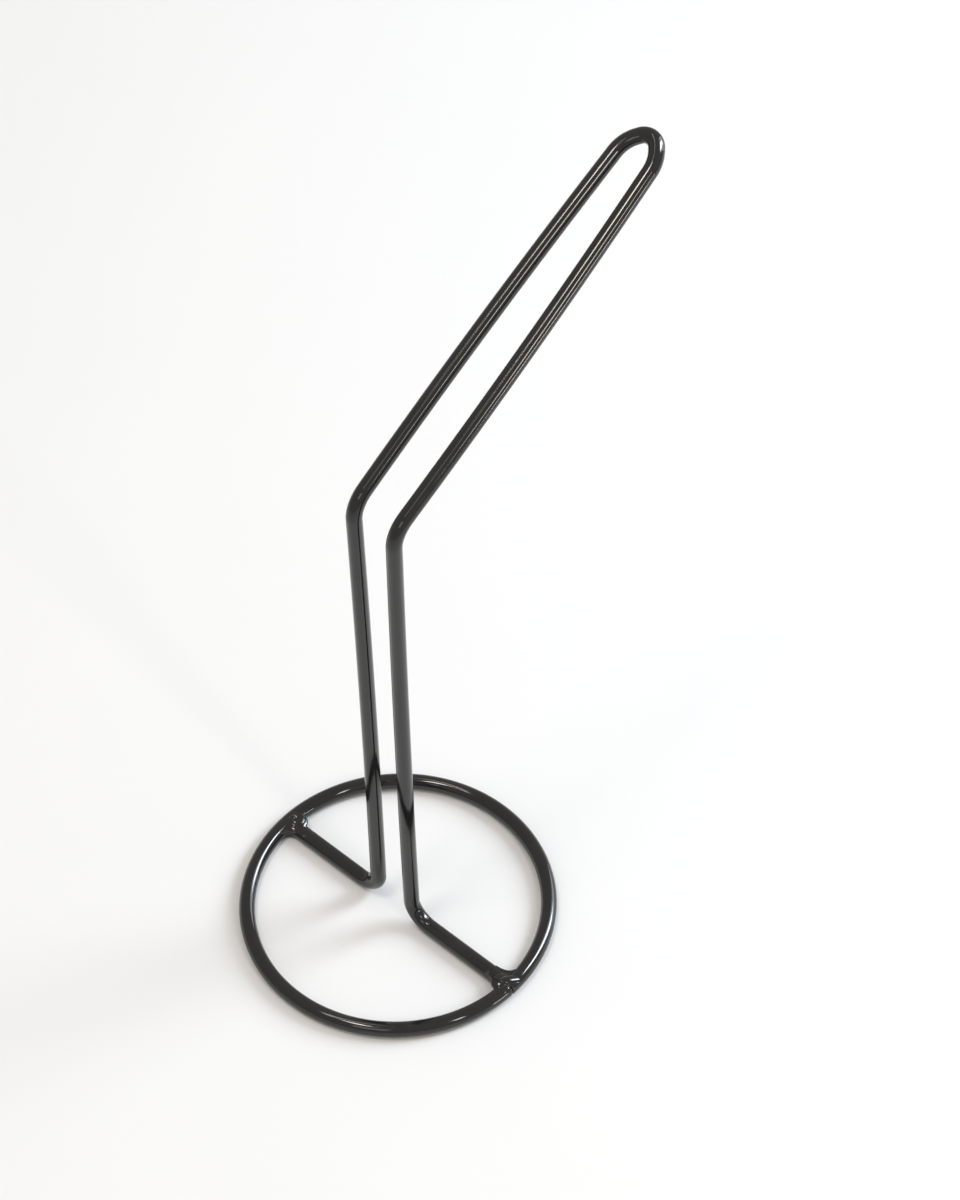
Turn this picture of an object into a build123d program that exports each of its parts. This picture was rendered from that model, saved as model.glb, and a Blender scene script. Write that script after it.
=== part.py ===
from build123d import *
import os
from math import cos, radians, sin, sqrt, tan

# Eyeglasses display stand: two lengths of coated round steel wire and the welds that join them.
#
# One length is rolled into a hoop that lies on the table. The other is bent once, without a cut,
# into two feet, two tall legs, two slanted arms and the hairpin between them, and its feet are
# welded to the inside of the hoop. Millimetres. The origin is the centre of the hoop on the table,
# +X runs along the right foot, +Y is the way the arms reach, +Z is up.

os.makedirs("parts", exist_ok=True)

# ---- Driving dimensions -------------------------------------------------------------------

# Wire, with its coating
wire_diameter = 5.0

# Hoop
hoop_diameter = 100.0  # over the outside of the wire
hoop_seam_gap = 0.6  # between the two ends of the hoop, filled by the seam weld
hoop_seam_turn = -1.4  # degrees round the hoop from the right foot's middle to the seam
seam_weld_inset = 0.15  # the seam weld stays this far below the wire's surface

# Upright wire: heights and spacings are those of the bends' corners, on the wire's centreline
knee_height = 195.3  # above the table
arm_length = 132.0  # from the knees to the shoulders of the hairpin
arm_rise = 27.7  # degrees above level
foot_spacing = 14.2  # between the legs, at the table
knee_spacing = 16.0  # between the legs, at the knees
shoulder_spacing = 12.8  # between the arms, where they turn in to the nose
nose_reach = 7.6  # from the shoulders to the corner of the nose, along the arms
nose_shift = 0.6  # the nose points this far to the right of the arms' middle
leg_bow = 0.55  # each leg curves this far towards the other, at mid height
arm_bow = 0.9  # each arm curves this far away from the other, at mid length
upright_shift = -0.9  # the upright stands this far off the hoop's centre, along X

# Bends, to the wire's centreline
foot_bend_radius = 8.0
knee_bend_radius = 10.0
shoulder_bend_radius = 11.5
nose_bend_radius = 4.3
bow_share = 0.85  # part of each run that its bow takes up

# Foot welds
foot_root_gap = 0.4  # between a foot's end and the hoop, filled by the weld
right_web_on_foot = 5.5  # length of the right weld's webs along the foot
right_web_on_hoop = 2.8  # and along the hoop
left_web_on_foot = 3.4
left_web_on_hoop = 3.2
web_thickness = 3.2
web_bite = 0.2  # how deep the webs' edges run into the wires

# ---- Values that follow from them -----------------------------------------------------------

wire_radius = wire_diameter / 2
hoop_radius = hoop_diameter / 2 - wire_radius  # to the wire's centreline
hoop_inside = hoop_radius - wire_radius
foot_end = hoop_inside - foot_root_gap
wire_level = Plane.XY.offset(wire_radius)
seam_cut = wire_level.rotated((0, 0, hoop_seam_turn))  # its X axis points at the seam


def upright_point(spacing, reach, height):
    """A point of the right-hand half of the upright, half a spacing from its middle."""
    return Vector(upright_shift + spacing / 2, reach, height)


def bowed_middle(start, end, bow):
    """The corner half way along a run whose arc then stands off the straight line by bow."""
    return (start + end) / 2 + Vector(bow / (1 - bow_share / 2), 0, 0)


def bow_radius(start, middle, end):
    """The radius of the arc that takes up bow_share of both halves of a bowed run."""
    first, second = middle - start, end - middle
    half_turn = radians(first.get_angle(second)) / 2
    return bow_share * min(first.length, second.length) / tan(half_turn)


def other_half(point):
    """The same point of the left-hand half of the upright."""
    return Vector(2 * upright_shift - point.X, point.Y, point.Z)


# ---- Hoop: one wire rolled round, its two ends facing each other beside the right foot -------

with BuildPart() as base_hoop:
    with BuildSketch(Plane.XZ):
        with Locations((hoop_radius, wire_radius)):
            Circle(wire_radius)
    revolve(axis=Axis.Z)
    with BuildSketch(seam_cut):
        with Locations((hoop_radius, 0)):
            Rectangle(2 * wire_diameter, hoop_seam_gap)
    extrude(amount=wire_diameter, both=True, mode=Mode.SUBTRACT)

# ---- Seam weld: a slice of weld metal that fills the gap between the hoop's ends -------------

with BuildPart() as hoop_seam_weld:
    with BuildSketch(Plane.XZ):
        with Locations((hoop_radius, wire_radius)):
            Circle(wire_radius - seam_weld_inset)
    revolve(axis=Axis.Z)
    with BuildSketch(seam_cut):
        with Locations((hoop_radius, 0)):
            Rectangle(2 * wire_diameter, hoop_seam_gap)
    extrude(amount=wire_diameter, both=True, mode=Mode.INTERSECT)

# ---- Upright: foot, leg, arm, hairpin, arm, leg and foot in one bent wire --------------------

foot_corner = upright_point(foot_spacing, 0, wire_radius)
knee_corner = upright_point(knee_spacing, 0, knee_height)
arm_way = Vector(0, cos(radians(arm_rise)), sin(radians(arm_rise)))
shoulder_corner = upright_point(shoulder_spacing, 0, knee_height) + arm_way * arm_length
nose_corner = (
    upright_point(2 * nose_shift, 0, knee_height) + arm_way * (arm_length + nose_reach)
)
leg_middle = bowed_middle(foot_corner, knee_corner, -leg_bow)
arm_middle = bowed_middle(knee_corner, shoulder_corner, arm_bow)

right_half = [foot_corner, leg_middle, knee_corner, arm_middle, shoulder_corner]
left_half = [other_half(corner) for corner in reversed(right_half)]
bend_radii = [
    foot_bend_radius,
    bow_radius(foot_corner, leg_middle, knee_corner),
    knee_bend_radius,
    bow_radius(knee_corner, arm_middle, shoulder_corner),
    shoulder_bend_radius,
]

with BuildPart() as upright_wire:
    with BuildLine() as centreline:
        FilletPolyline(
            (foot_end, 0, wire_radius),
            *right_half,
            nose_corner,
            *left_half,
            (-foot_end, 0, wire_radius),
            radius=[*bend_radii, nose_bend_radius, *reversed(bend_radii)],
        )
    with BuildSketch(Plane(origin=centreline.line @ 0, z_dir=centreline.line % 0)):
        Circle(wire_radius)
    sweep()

# ---- Foot welds: weld metal behind each foot's end, drawn out into a web on both sides -------


def foot_weld(side, on_foot, on_hoop, neighbours):
    """The weld at one foot, cut to the wires and weld beside it. side is 1 at right, -1 at left."""
    foot_edge = wire_radius - web_bite
    hoop_edge = hoop_inside + web_bite
    web_start = Vector(sqrt(hoop_edge**2 - foot_edge**2) - on_foot, foot_edge)
    end_y = foot_edge + on_hoop
    web_end = Vector(sqrt(hoop_edge**2 - end_y**2), end_y)
    behind = web_end * (hoop_radius / hoop_edge)
    with BuildPart() as weld:
        with BuildSketch(wire_level):
            with BuildLine():
                Line((web_start.X, 0), web_start)
                TangentArc(web_start, web_end, tangent=(1, 0))
                Line(web_end, behind)
                Line(behind, (hoop_radius, 0))
                mirror(about=Plane.XZ)
            make_face()
            if side < 0:
                mirror(about=Plane.YZ, mode=Mode.REPLACE)
        extrude(amount=web_thickness / 2, both=True)
        for neighbour in neighbours:
            add(neighbour.part, mode=Mode.SUBTRACT)
    return weld


right_foot_weld = foot_weld(
    1, right_web_on_foot, right_web_on_hoop, [base_hoop, upright_wire, hoop_seam_weld]
)
left_foot_weld = foot_weld(-1, left_web_on_foot, left_web_on_hoop, [base_hoop, upright_wire])

# ---- Files ------------------------------------------------------------------------------------

base_hoop.part.label = "base_hoop"
hoop_seam_weld.part.label = "hoop_seam_weld"
upright_wire.part.label = "upright_wire"
right_foot_weld.part.label = "right_foot_weld"
left_foot_weld.part.label = "left_foot_weld"

for piece in (base_hoop, hoop_seam_weld, upright_wire, right_foot_weld, left_foot_weld):
    export_step(piece.part, f"parts/{piece.part.label}.step")
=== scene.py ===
from math import asin, cos, pi, radians, sin, sqrt, tan

import bmesh
import bpy
from mathutils import Matrix, Quaternion, Vector


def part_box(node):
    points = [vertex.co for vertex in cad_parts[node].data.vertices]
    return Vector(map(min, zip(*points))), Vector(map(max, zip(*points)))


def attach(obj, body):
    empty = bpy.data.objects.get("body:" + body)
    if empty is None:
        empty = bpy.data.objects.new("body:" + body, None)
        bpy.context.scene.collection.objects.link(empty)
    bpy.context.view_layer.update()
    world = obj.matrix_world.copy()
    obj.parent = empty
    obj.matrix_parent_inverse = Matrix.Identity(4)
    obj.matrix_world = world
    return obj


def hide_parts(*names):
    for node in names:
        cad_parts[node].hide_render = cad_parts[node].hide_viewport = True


# Looks of the eyeglasses display stand: black enamelled wire, its welds, and a plain table.
#
# Metres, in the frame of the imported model: the origin is the centre of the hoop on the table, +X runs
# along the right foot, +Y is the way the arms reach, +Z is up.

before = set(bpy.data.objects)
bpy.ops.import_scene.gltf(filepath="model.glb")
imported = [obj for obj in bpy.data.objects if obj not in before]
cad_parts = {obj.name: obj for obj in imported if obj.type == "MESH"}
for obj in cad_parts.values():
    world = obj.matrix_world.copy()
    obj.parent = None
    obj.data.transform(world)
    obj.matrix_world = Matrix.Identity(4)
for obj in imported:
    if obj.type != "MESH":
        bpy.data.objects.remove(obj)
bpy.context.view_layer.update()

# ---- Base hoop --------------------------------------------------------------------------------
# A length of 5 mm steel wire rolled into a circle that lies flat on the table. Its ends meet at the
# right foot; they are ground slightly round, so the seam shows as a groove across the wire. The
# whole stand is dipped in black stove enamel, which leaves it smooth, wet-looking and a little uneven.

MM = 0.001

hoop_low, hoop_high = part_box("base_hoop")
wire_radius = (hoop_high.z - hoop_low.z) / 2
hoop_radius = (hoop_high.y - hoop_low.y) / 2 - wire_radius
hoop_seam_gap = 0.6 * MM
hoop_seam_turn = radians(-1.4)  # round the hoop, from the right foot's middle
ground_end = 0.45 * MM
wire_sides = 48
hoop_steps = 240
merge_distance = 0.001 * MM

film_unit = 0.001 * MM  # the enamel's heights below are counted in this
flow_size = 7 * MM
flow_height = 16
peel_size = 1.1 * MM
peel_height = 1.1
nib_spacing = 5.5 * MM
nib_radius = 0.24 * MM
nib_height = 22
handled_size = 16 * MM
handled_from = 0.48
handled_to = 0.72
clean_black = (0.0110, 0.0110, 0.0113, 1)
handled_black = (0.0160, 0.0154, 0.0148, 1)
clean_roughness = 0.055
handled_roughness = 0.045  # added where the stand has been handled
nib_roughness = 0.1  # added on a nib
enamel_ior = 1.52


class Value:
    """One output of a shader node, so that arithmetic on it reads as plain Python."""

    def __init__(self, finish, socket):
        self.finish = finish
        self.socket = socket

    def maths(self, operation, *values):
        node = self.finish.node("ShaderNodeMath", {"operation": operation}, dict(enumerate(values)))
        return Value(self.finish, node.outputs["Value"])

    def __add__(self, other):
        return self.maths("ADD", self, other)

    def __rsub__(self, other):
        return self.maths("SUBTRACT", other, self)

    def __mul__(self, other):
        return self.maths("MULTIPLY", self, other)

    def at_least(self, other):
        return self.maths("MAXIMUM", self, other)

    __radd__ = __add__
    __rmul__ = __mul__


class Finish:
    """A material under construction. Every node but the sums of Value comes from node()."""

    def __init__(self, name):
        self.material = bpy.data.materials.new(name)
        self.material.use_nodes = True
        self.tree = self.material.node_tree
        self.tree.nodes.clear()
        self.place = self.value("ShaderNodeTexCoord", {}, {}, "Object")

    def node(self, kind, settings, inputs):
        node = self.tree.nodes.new(kind)
        for name, setting in settings.items():
            setattr(node, name, setting)
        for name, value in inputs.items():
            if isinstance(value, Value):
                self.tree.links.new(value.socket, node.inputs[name])
            else:
                node.inputs[name].default_value = value
        return node

    def value(self, kind, settings, inputs, output):
        return Value(self, self.node(kind, settings, inputs).outputs[output])

    def noise(self, size, detail=2.0, roughness=0.5):
        """Smooth cloudy noise, 0 to 1, with blotches about size across."""
        inputs = {"Vector": self.place, "Scale": 1 / size, "Detail": detail, "Roughness": roughness}
        return self.value("ShaderNodeTexNoise", {}, inputs, "Fac")

    def spots(self, spacing, radius):
        """1 at the middle of scattered round spots, falling to 0 at their rim."""
        inputs = {"Vector": self.place, "Scale": 1 / spacing, "Randomness": 1.0}
        reach = self.value("ShaderNodeTexVoronoi", {"feature": "F1"}, inputs, "Distance")
        return (1 - reach * (spacing / radius)).at_least(0.0)

    def ramp(self, fac, low, high):
        """fac stretched so that low becomes 0 and high becomes 1, and held there."""
        inputs = {"Value": fac, "From Min": low, "From Max": high}
        return self.value("ShaderNodeMapRange", {"clamp": True}, inputs, "Result")

    def mix(self, fac, first, second):
        """A colour between first and second. A Mix node has a pair of inputs for each kind of data."""
        colour_a, colour_b, colour_result = 6, 7, 2
        inputs = {"Factor": fac, colour_a: first, colour_b: second}
        return self.value("ShaderNodeMix", {"data_type": "RGBA"}, inputs, colour_result)

    def coat(self, shader):
        """Makes a Principled shader with these inputs the material's surface."""
        surface = self.value("ShaderNodeBsdfPrincipled", {}, shader, "BSDF")
        self.node("ShaderNodeOutputMaterial", {}, {"Surface": surface})
        return self.material


def black_enamel(name, waviness):
    """Glossy black stove enamel. waviness scales how unevenly the film lies."""
    finish = Finish(name)
    flow = finish.noise(flow_size, detail=1.0)
    peel = finish.noise(peel_size)
    nibs = finish.spots(nib_spacing, nib_radius)
    patches = finish.noise(handled_size, detail=4.0, roughness=0.6)
    handling = finish.ramp(patches, handled_from, handled_to)
    film = (flow * flow_height + peel * peel_height) * waviness + nibs * nibs * nib_height
    bump = {"Strength": 1.0, "Distance": film_unit, "Height": film}
    return finish.coat({
        "Base Color": finish.mix(handling, clean_black, handled_black),
        "Roughness": clean_roughness + handling * handled_roughness + nibs * nib_roughness,
        "Normal": finish.value("ShaderNodeBump", {}, bump, "Normal"),
        "IOR": enamel_ior,
    })


def make_piece(name, bm, material, node):
    """Turns a finished bmesh into the piece that stands for one CAD node."""
    bmesh.ops.remove_doubles(bm, verts=bm.verts, dist=merge_distance)
    bmesh.ops.recalc_face_normals(bm, faces=bm.faces)
    mesh = bpy.data.meshes.new(name)
    bm.to_mesh(mesh)
    bm.free()
    for face in mesh.polygons:
        face.use_smooth = True
    mesh.materials.append(material)
    piece = bpy.data.objects.new(name, mesh)
    bpy.context.scene.collection.objects.link(piece)
    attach(piece, "root")
    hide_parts(node)
    return piece


def ring_point(radius, turn):
    """A point on a ring round the hoop's centre, level with the middle of the wire."""
    return Vector((radius * cos(turn), radius * sin(turn), wire_radius))


def ring_way(turn):
    """The way along such a ring at turn, anticlockwise from above."""
    return Vector((-sin(turn), cos(turn), 0))


def facing(place, way):
    """The matrix that puts a shape at place with its +Z along way."""
    return Matrix.Translation(place) @ way.to_track_quat("Z", "Y").to_matrix().to_4x4()


def wire_end(bm, place, way, radius):
    """A disc across the wire at place, facing way. Returns its rim, ready to be drawn out."""
    disc = bmesh.ops.create_circle(
        bm, cap_ends=True, radius=radius, segments=wire_sides, matrix=facing(place, way)
    )
    return list(disc["verts"][0].link_faces[0].edges)


def draw_bend(bm, rim, centre, axis, angle, steps):
    """Draws the rim round a bend and returns the new rim."""
    drawn = bmesh.ops.spin(
        bm, geom=rim, cent=centre, axis=axis, angle=angle, steps=steps, use_duplicate=False
    )["geom_last"]
    return [item for item in drawn if isinstance(item, bmesh.types.BMEdge)]


wire_enamel = black_enamel("black_enamel_on_wire", waviness=1.0)

bm = bmesh.new()
seam_half_turn = asin(hoop_seam_gap / 2 / hoop_radius)
first_turn = hoop_seam_turn + seam_half_turn
first_end = wire_end(bm, ring_point(hoop_radius, first_turn), ring_way(first_turn), wire_radius)
last_end = draw_bend(
    bm, first_end, (0, 0, wire_radius), (0, 0, 1), 2 * pi - 2 * seam_half_turn, hoop_steps
)
bmesh.ops.edgeloop_fill(bm, edges=last_end)
bmesh.ops.bevel(
    bm, geom=first_end + last_end, offset=ground_end, segments=6, profile=0.5, material=-1,
    affect="EDGES",
)
make_piece("hoop_wire", bm, wire_enamel, "base_hoop")

# ---- Upright wire -----------------------------------------------------------------------------
# One uncut length of the same wire, bent by hand in a jig: foot, leg, arm, hairpin, arm, leg, foot.
# The legs and arms keep the slight curve of coiled stock. It is enamelled with the hoop.

knee_height = 195.3 * MM
arm_length = 132 * MM
arm_rise = radians(27.7)
foot_spacing = 14.2 * MM
knee_spacing = 16 * MM
shoulder_spacing = 12.8 * MM
nose_reach = 7.6 * MM
nose_shift = 0.6 * MM
leg_bow = 0.55 * MM
arm_bow = 0.9 * MM
upright_shift = -0.9 * MM
foot_root_gap = 0.4 * MM
foot_bend_radius = 8 * MM
knee_bend_radius = 10 * MM
shoulder_bend_radius = 11.5 * MM
nose_bend_radius = 4.3 * MM
bow_share = 0.85  # part of each run that its bow takes up
bow_steps = 24
bend_step = radians(1.5)


def upright_point(spacing, reach, height):
    """A point of the right-hand half of the upright, half a spacing from its middle."""
    return Vector((upright_shift + spacing / 2, reach, height))


def other_half(point):
    """The same point of the left-hand half."""
    return Vector((2 * upright_shift - point.x, point.y, point.z))


def bowed_middle(start, end, bow):
    """The corner half way along a run whose arc then stands off the straight line by bow."""
    return (start + end) / 2 + Vector((bow / (1 - bow_share / 2), 0, 0))


def bow_radius(start, middle, end):
    """The radius of the arc that takes up bow_share of both halves of a bowed run."""
    first, second = middle - start, end - middle
    return bow_share * min(first.length, second.length) / tan(first.angle(second) / 2)


def draw_straight(bm, rim, move):
    """Draws the rim out in a straight line and returns the new rim."""
    drawn = bmesh.ops.extrude_edge_only(bm, edges=rim)["geom"]
    verts = [item for item in drawn if isinstance(item, bmesh.types.BMVert)]
    bmesh.ops.translate(bm, verts=verts, vec=move)
    return [item for item in drawn if isinstance(item, bmesh.types.BMEdge) and item.is_boundary]


arm_way = Vector((0, cos(arm_rise), sin(arm_rise)))
right_end = Vector((hoop_radius - wire_radius - foot_root_gap, 0, wire_radius))
left_end = Vector((-right_end.x, 0, wire_radius))
foot_corner = upright_point(foot_spacing, 0, wire_radius)
knee_corner = upright_point(knee_spacing, 0, knee_height)
shoulder_corner = upright_point(shoulder_spacing, 0, knee_height) + arm_way * arm_length
nose_corner = upright_point(2 * nose_shift, 0, knee_height) + arm_way * (arm_length + nose_reach)
leg_middle = bowed_middle(foot_corner, knee_corner, -leg_bow)
arm_middle = bowed_middle(knee_corner, shoulder_corner, arm_bow)

right_bends = [
    (foot_corner, foot_bend_radius),
    (leg_middle, bow_radius(foot_corner, leg_middle, knee_corner)),
    (knee_corner, knee_bend_radius),
    (arm_middle, bow_radius(knee_corner, arm_middle, shoulder_corner)),
    (shoulder_corner, shoulder_bend_radius),
]
left_bends = [(other_half(corner), radius) for corner, radius in reversed(right_bends)]
bends = right_bends + [(nose_corner, nose_bend_radius)] + left_bends
next_corners = [corner for corner, radius in bends[1:]] + [left_end]

bm = bmesh.new()
place = right_end
rim = wire_end(bm, place, foot_corner - place, wire_radius)
right_rim = rim
for (corner, radius), next_corner in zip(bends, next_corners):
    way = (corner - place).normalized()
    next_way = (next_corner - corner).normalized()
    turn = way.angle(next_way)
    tangent = radius * tan(turn / 2)
    bend_start = corner - way * tangent
    rim = draw_straight(bm, rim, bend_start - place)
    axis = way.cross(next_way).normalized()
    centre = bend_start + axis.cross(way) * radius
    rim = draw_bend(bm, rim, centre, axis, turn, max(bow_steps, round(turn / bend_step)))
    place = corner + next_way * tangent
left_rim = draw_straight(bm, rim, left_end - place)
bmesh.ops.edgeloop_fill(bm, edges=left_rim)
for edge in right_rim + left_rim:
    edge.smooth = False
make_piece("bent_wire", bm, wire_enamel, "upright_wire")

# ---- Seam weld --------------------------------------------------------------------------------
# A thin fill of weld metal between the hoop's two ground ends. It stays below the wire's surface,
# so the joint shows as a narrow groove.

seam_weld_inset = 0.4 * MM
seam_weld_crown = 0.2 * MM


def round_bar(bm, radius, length, matrix):
    """A closed round bar centred on the matrix, along its Z. Returns its verts."""
    return bmesh.ops.create_cone(
        bm, cap_ends=True, segments=wire_sides, radius1=radius, radius2=radius, depth=length,
        matrix=matrix,
    )["verts"]


weld_enamel = black_enamel("black_enamel_on_welds", waviness=0.6)

bm = bmesh.new()
seam = facing(ring_point(hoop_radius, hoop_seam_turn), ring_way(hoop_seam_turn))
round_bar(bm, wire_radius - seam_weld_inset, hoop_seam_gap, seam)
caps = [face for face in bm.faces if len(face.verts) == wire_sides]
cap_rims = [edge for cap in caps for edge in cap.edges]
bmesh.ops.bevel(
    bm, geom=cap_rims, offset=seam_weld_crown, segments=4, profile=0.5, material=-1, affect="EDGES"
)
make_piece("seam_weld", bm, weld_enamel, "hoop_seam_weld")

# ---- Foot welds -------------------------------------------------------------------------------
# Each foot butts against the inside of the hoop and is brazed all round. The metal fills both
# corners between foot and hoop and stands proud on top in uneven drops, with a flat-topped button
# on the left one. Each is melted together from the foot's end, a stretch of hoop, webs and drops.

stub_radius = wire_radius - 0.04 * MM
stub_length = 8 * MM
arc_radius = wire_radius - 0.45 * MM
arc_shift = 0.41 * MM  # towards the foot, so that only the hoop's inner side carries weld
arc_half_turn = radians(9)
arc_steps = 16
web_bite = 0.3 * MM
web_half_height = 1.9 * MM
web_steps = 10
drop_subdivisions = 4
melt_voxel = 0.14 * MM
flow_factor = 0.5
flow_passes = 14


def drop(bm, place, radii, turned=0, tipped=0):
    """A drop of weld metal. Its length is turned from +X towards +Y and tipped down, in degrees."""
    spot = Matrix.Translation(place) @ Matrix.Rotation(radians(turned), 4, "Z")
    spot @= Matrix.Rotation(radians(tipped), 4, "Y") @ Matrix.Diagonal((*radii, 1))
    bmesh.ops.create_icosphere(bm, subdivisions=drop_subdivisions, radius=1, matrix=spot)


def button(bm, place, radius, height):
    """A flat-topped round button of weld metal, its top at place."""
    round_bar(bm, radius, height, Matrix.Translation(place - Vector((0, 0, height / 2))))


def foot_weld(name, node, side, on_foot, on_hoop, drops, buttons=()):
    """The weld round one foot's end. side is 1 at the right and -1 at the left.

    on_foot and on_hoop are the lengths of its webs. A drop is its middle, its half lengths and, if it
    leans, how far it is turned and tipped. A button is the middle of its top, its radius and its
    height. Drops and buttons are in millimetres.
    """
    bm = bmesh.new()
    # the end of the foot
    middle = Vector((side * (hoop_radius - wire_radius - stub_length / 2), 0, wire_radius))
    along_foot = Matrix.Translation(middle) @ Matrix.Rotation(pi / 2, 4, "Y")
    round_bar(bm, stub_radius, stub_length, along_foot)
    # the stretch of the hoop behind it
    start_turn = (0 if side > 0 else pi) - arc_half_turn
    start = ring_point(hoop_radius - arc_shift, start_turn)
    rim = wire_end(bm, start, ring_way(start_turn), arc_radius)
    rim = draw_bend(bm, rim, (0, 0, wire_radius), (0, 0, 1), 2 * arc_half_turn, arc_steps)
    bmesh.ops.edgeloop_fill(bm, edges=rim)
    # the webs in the two corners: one outline in plan, with a round inner edge
    foot_edge = wire_radius - web_bite
    hoop_edge = hoop_radius - wire_radius + web_bite
    tip_x = sqrt(hoop_edge ** 2 - foot_edge ** 2) - on_foot
    end_y = foot_edge + on_hoop
    end_x = sqrt(hoop_edge ** 2 - end_y ** 2)
    curve = [
        (tip_x + (end_x - tip_x) * sin(turn), end_y - (end_y - foot_edge) * cos(turn))
        for turn in (pi / 2 * step / web_steps for step in range(web_steps + 1))
    ]
    outline = curve + [(hoop_radius, end_y), (hoop_radius, -end_y)]
    outline += [(x, -y) for x, y in reversed(curve)]
    low = wire_radius - web_half_height
    base = bm.faces.new([bm.verts.new((side * x, y, low)) for x, y in outline])
    drawn = bmesh.ops.extrude_face_region(bm, geom=[base])["geom"]
    risen = [item for item in drawn if isinstance(item, bmesh.types.BMVert)]
    bmesh.ops.translate(bm, verts=risen, vec=(0, 0, 2 * web_half_height))
    # the metal on top
    for place, radii, *angles in drops:
        drop(bm, Vector(place) * MM, Vector(radii) * MM, *angles)
    for place, radius, height in buttons:
        button(bm, Vector(place) * MM, radius * MM, height * MM)
    piece = make_piece(name, bm, weld_enamel, node)
    melt = piece.modifiers.new("melt", "REMESH")
    melt.mode = "VOXEL"
    melt.voxel_size = melt_voxel
    melt.use_smooth_shade = True
    flow = piece.modifiers.new("flow", "SMOOTH")
    flow.factor = flow_factor
    flow.iterations = flow_passes


foot_weld(
    "right_weld", "right_foot_weld", 1, on_foot=5.5 * MM, on_hoop=2.8 * MM,
    drops=[
        ((45.0, -1.4, 3.9), (3.2, 3.3, 1.8)),
        ((47.3, 1.3, 4.05), (4.6, 1.8, 1.45), 62, 21),
        ((44.2, -0.8, 4.95), (0.65, 0.65, 0.65)),
        ((48.6, -3.9, 4.15), (0.75, 0.75, 0.75)),
        ((39.3, -1.6, 4.05), (0.6, 0.6, 0.6)),
    ],
)
foot_weld(
    "left_weld", "left_foot_weld", -1, on_foot=3.4 * MM, on_hoop=3.2 * MM,
    drops=[
        ((-43.8, 1.6, 2.6), (2.0, 2.4, 2.2)),
        ((-44.6, 0.7, 4.2), (3.7, 3.9, 1.3)),
        ((-46.0, 1.5, 5.25), (0.7, 0.7, 0.8)),
        ((-44.7, -0.3, 5.15), (0.7, 0.7, 0.75)),
        ((-39.3, -1.5, 4.05), (0.6, 0.6, 0.6)),
    ],
    buttons=[((-45.0, 1.5, 5.5), 2.3, 1.6)],
)

# ---- Table ------------------------------------------------------------------------------------
# A plain white laminate top, matt and very slightly mottled. It is not part of the stand.

table_half_width = 4
mottle_size = 60 * MM
dull_white = (0.86, 0.865, 0.87, 1)
clear_white = (0.88, 0.88, 0.885, 1)
laminate_roughness = 0.75
laminate_ior = 1.3

bm = bmesh.new()
bmesh.ops.create_grid(bm, x_segments=1, y_segments=1, size=table_half_width)
table_mesh = bpy.data.meshes.new("table")
bm.to_mesh(table_mesh)
bm.free()
table = bpy.data.objects.new("table", table_mesh)
bpy.context.scene.collection.objects.link(table)
laminate = Finish("white_laminate")
mottle = laminate.noise(mottle_size, detail=3.0)
table_mesh.materials.append(laminate.coat({
    "Base Color": laminate.mix(mottle, dull_white, clear_white),
    "Roughness": laminate_roughness,
    "IOR": laminate_ior,
}))

# ---- Light ------------------------------------------------------------------------------------
# A pale room. Behind the stand and to its right is a tall window, and the warm lights are a bracket
# lamp, two ceiling panels, a pale wall in front and the room's bright edge beyond the table. They
# are what the thin bright lines along the wire reflect. A soft box, not reflected, fills the table.

wall_colour = (1.06, 1.0, 0.94, 1)
wall_radiance = 0.50
warm = (1.0, 0.94, 0.84)
cool = (0.86, 0.96, 1.06)
ceiling_height = 1.5
light_distance = 1.6
stand_middle = Vector((0, 0, 0.05))

room = bpy.data.worlds.new("pale_room")
room.use_nodes = True
walls = room.node_tree.nodes["Background"]
walls.inputs["Color"].default_value = wall_colour
walls.inputs["Strength"].default_value = wall_radiance
bpy.context.scene.world = room


def add_light(name, place, turn, across, along, radiance, colour, lights_table=True):
    """A flat light that shines along its own -Z, with the same radiance all over.

    One that doesn't light the table shows only in reflections.
    """
    light = bpy.data.lights.new(name, "AREA")
    light.shape = "RECTANGLE"
    light.size = across
    light.size_y = along
    light.energy = radiance * pi * across * along
    light.color = colour
    lamp = bpy.data.objects.new(name, light)
    lamp.location = place
    lamp.rotation_euler = turn
    lamp.visible_camera = False
    lamp.visible_diffuse = lights_table
    bpy.context.scene.collection.objects.link(lamp)
    return lamp


def ceiling_light(name, x, y, turned=0, **settings):
    """A warm light in the ceiling, turned from +X towards +Y, in degrees."""
    place = Vector((x, y, ceiling_height))
    return add_light(name, place, (0, 0, radians(turned)), colour=warm, **settings)


def facing_light(name, azimuth, elevation, leaning=0, **settings):
    """A light that faces the stand. azimuth turns from +Y towards +X, in degrees."""
    level = cos(radians(elevation))
    way = Vector((
        sin(radians(azimuth)) * level, cos(radians(azimuth)) * level, sin(radians(elevation))
    ))
    turn = way.to_track_quat("Z", "Y") @ Quaternion((0, 0, 1), radians(leaning))
    place = stand_middle + way * light_distance
    return add_light(name, place, turn.to_euler(), **settings)


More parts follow.
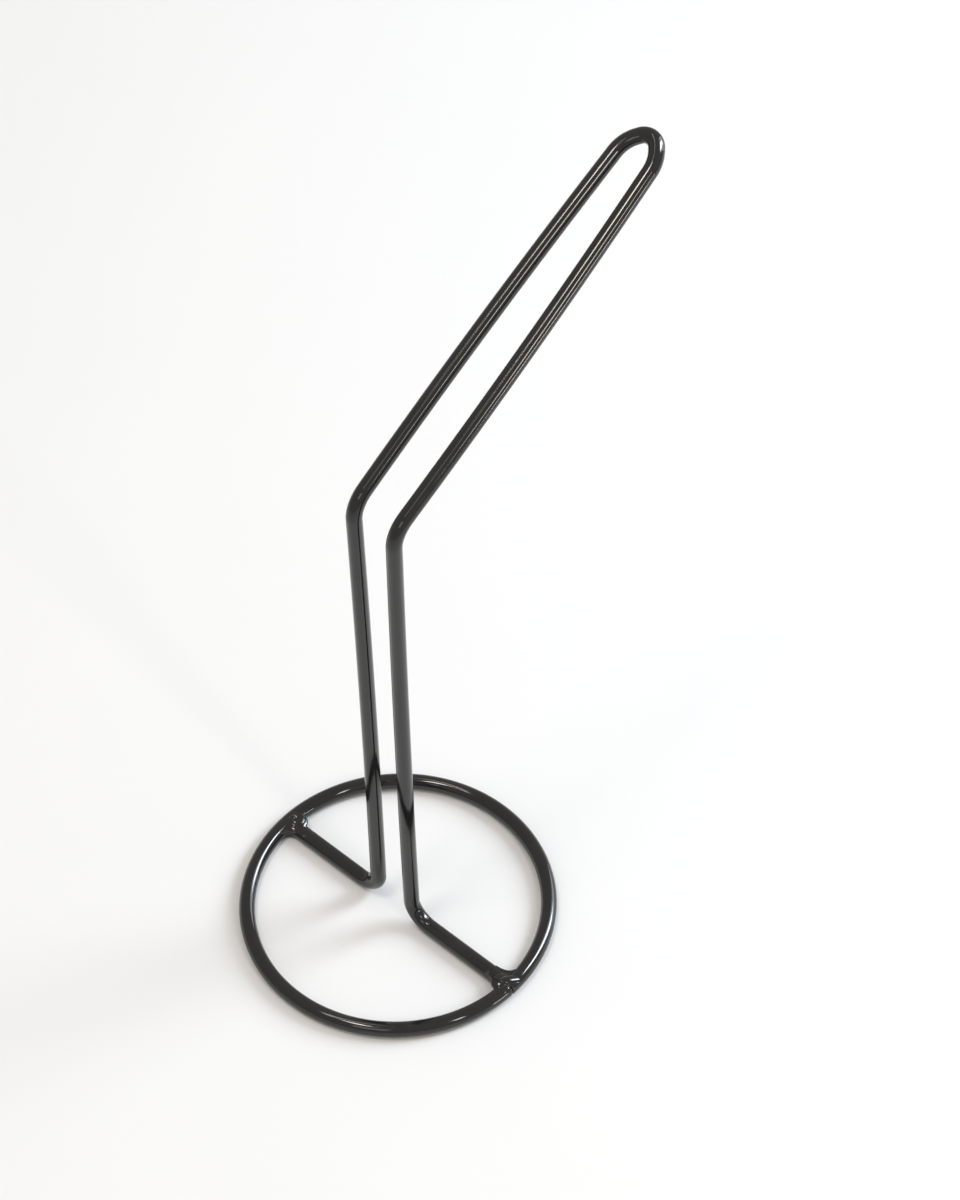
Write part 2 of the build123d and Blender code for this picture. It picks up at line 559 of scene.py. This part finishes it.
facing_light(
    "window", azimuth=27, elevation=33, leaning=28, across=0.42, along=1.00, radiance=13, colour=cool
)
facing_light(
    "window_surround", azimuth=20, elevation=26, leaning=20, across=0.90, along=1.40, radiance=3.5,
    colour=cool, lights_table=False,
)
facing_light(
    "window_glare", azimuth=29, elevation=35, leaning=28, across=0.30, along=0.90, radiance=14,
    colour=cool, lights_table=False,
)
facing_light(
    "bracket_lamp", azimuth=100, elevation=39.5, across=0.15, along=0.41, radiance=13, colour=warm
)
facing_light(
    "bright_edge", azimuth=77, elevation=0.4, across=0.29, along=0.13, radiance=18, colour=warm,
    lights_table=False,
)
ceiling_light("near_panel", -0.11, -0.39, turned=-37, across=0.26, along=0.18, radiance=24)
ceiling_light(
    "panel_glow", 0.08, -0.58, across=0.26, along=0.22, radiance=1.6, lights_table=False
)
facing_light(
    "pale_front", azimuth=157, elevation=42, across=0.50, along=0.46, radiance=2.0, colour=warm,
    lights_table=False,
)
ceiling_light("left_panel", -0.40, -0.10, turned=8, across=0.08, along=0.94, radiance=6)
soft_box = add_light(
    "soft_box", (0.3, 0.2, ceiling_height), (0, 0, 0), across=1.2, along=1.2, radiance=0.40,
    colour=cool,
)
soft_box.visible_glossy = False

# ---- Camera -----------------------------------------------------------------------------------
# A long lens, well above the stand and to its front right.

view_azimuth = radians(43.94)
view_elevation = radians(52.25)
view_roll = radians(-2.13)
view_distance = 1.892
frame_width = 36  # of the lens's picture, in millimetres
focal_length = 180.5  # in millimetres
far_clip = 20
aim_across = 0.0258
aim_up = 0.0954

back = Vector((
    sin(view_azimuth) * cos(view_elevation),
    -cos(view_azimuth) * cos(view_elevation),
    sin(view_elevation),
))
level_right = Vector((cos(view_azimuth), sin(view_azimuth), 0))
level_up = back.cross(level_right)
camera_right = level_right * cos(view_roll) + level_up * sin(view_roll)
camera_up = level_up * cos(view_roll) - level_right * sin(view_roll)
aim = camera_right * aim_across + camera_up * aim_up + Vector((0, 0, wire_radius))

lens = bpy.data.cameras.new("camera")
lens.lens = focal_length
lens.sensor_width = frame_width
lens.clip_end = far_clip
camera = bpy.data.objects.new("camera", lens)
turned = Matrix((camera_right, camera_up, back)).transposed().to_4x4()
camera.matrix_world = Matrix.Translation(aim + back * view_distance) @ turned
bpy.context.scene.collection.objects.link(camera)
bpy.context.scene.camera = camera
bpy.context.scene.view_settings.view_transform = "Standard"
